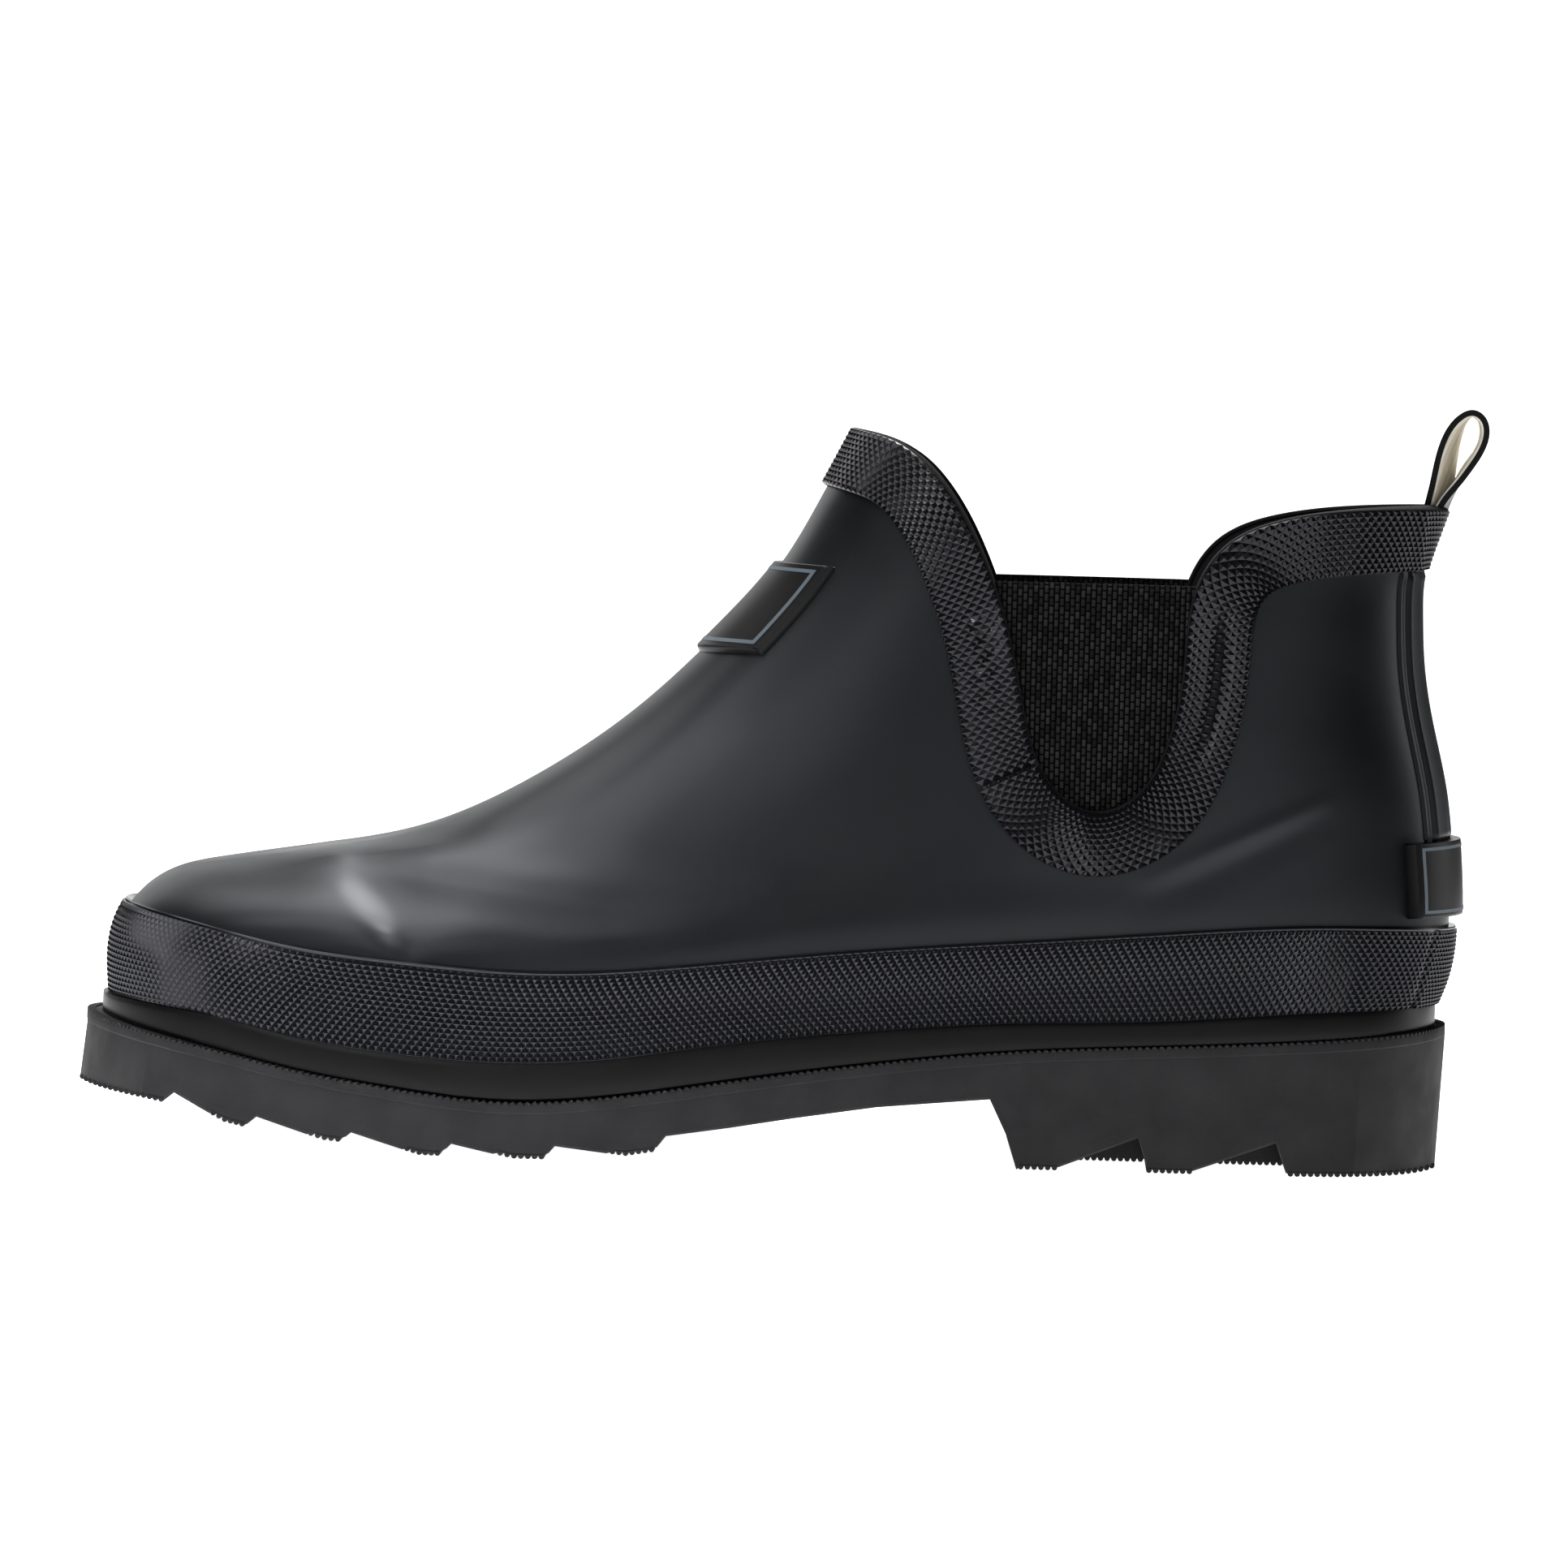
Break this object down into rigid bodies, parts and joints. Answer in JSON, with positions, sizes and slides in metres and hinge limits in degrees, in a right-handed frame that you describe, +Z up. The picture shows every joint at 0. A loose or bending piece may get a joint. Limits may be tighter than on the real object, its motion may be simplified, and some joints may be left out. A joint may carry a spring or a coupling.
{
  "type": "rubber ankle boot",
  "caption": "Low ankle-height rubber boot for the left foot, with a lugged sole, knurled bands, elastic side panels and a pull loop at the heel.",
  "frame": {"origin": "on the floor under the middle of the boot's box", "axes": "+X from the toe to the heel, -Y to the outer side of the foot, +Z up"},
  "size_m": [0.2852, 0.0996, 0.1548],
  "materials": {
    "sole_rubber": "matt grey-black moulded rubber",
    "smooth_rubber": "smooth satin black rubber",
    "upper_rubber": "satin black rubber with a soft sheen",
    "band_rubber": "black rubber with a fine diamond knurl",
    "elastic": "matt black woven elastic with upright ribs",
    "footbed": "dark felt",
    "strap": "black rubber strap backed with cream cotton"
  },
  "bodies": {
    "root": {"outsole": "sole_rubber", "midsole": "smooth_rubber", "insole": "footbed", "upper": "upper_rubber", "foxing": "band_rubber", "front_binding": "band_rubber", "back_binding": "band_rubber", "gusset_lateral": "elastic", "gusset_medial": "elastic", "back_strip": "smooth_rubber", "heel_patch": "smooth_rubber", "instep_badge": "smooth_rubber", "pull_loop": "strap"}
  },
  "joints": []
}
